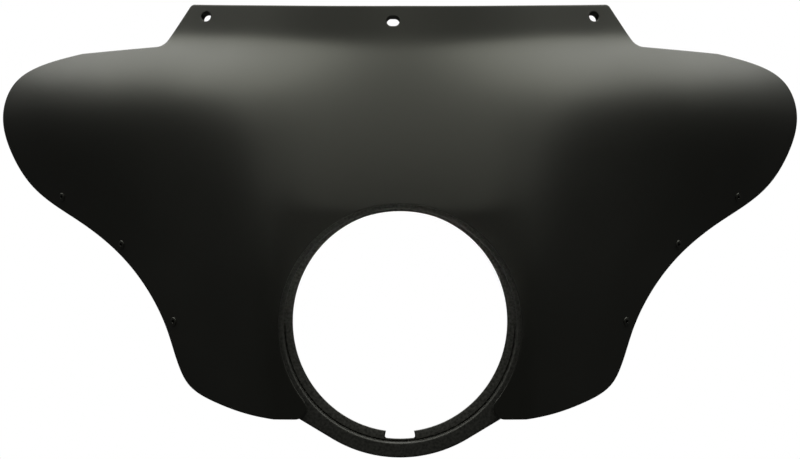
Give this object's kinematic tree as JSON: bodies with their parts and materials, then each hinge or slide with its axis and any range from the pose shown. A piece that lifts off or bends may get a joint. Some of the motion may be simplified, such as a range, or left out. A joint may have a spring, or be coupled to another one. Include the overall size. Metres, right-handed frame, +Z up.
{
  "type": "motorcycle fairing outer shell",
  "caption": "Satin black outer shell of a handlebar fairing, with swept wings, a round headlamp socket, a small chin and a windscreen flange.",
  "frame": {"origin": "on the headlamp socket's axis, in the plane of the ledge that the lamp's trim ring seats on", "axes": "+X to the right as seen from the front, +Y to the rear along the lamp's axis, +Z up"},
  "size_m": [0.766, 0.2715, 0.4066],
  "materials": {
    "black_plastic": "satin"
  },
  "bodies": {
    "root": {"outer_fairing": "black_plastic"}
  },
  "joints": []
}
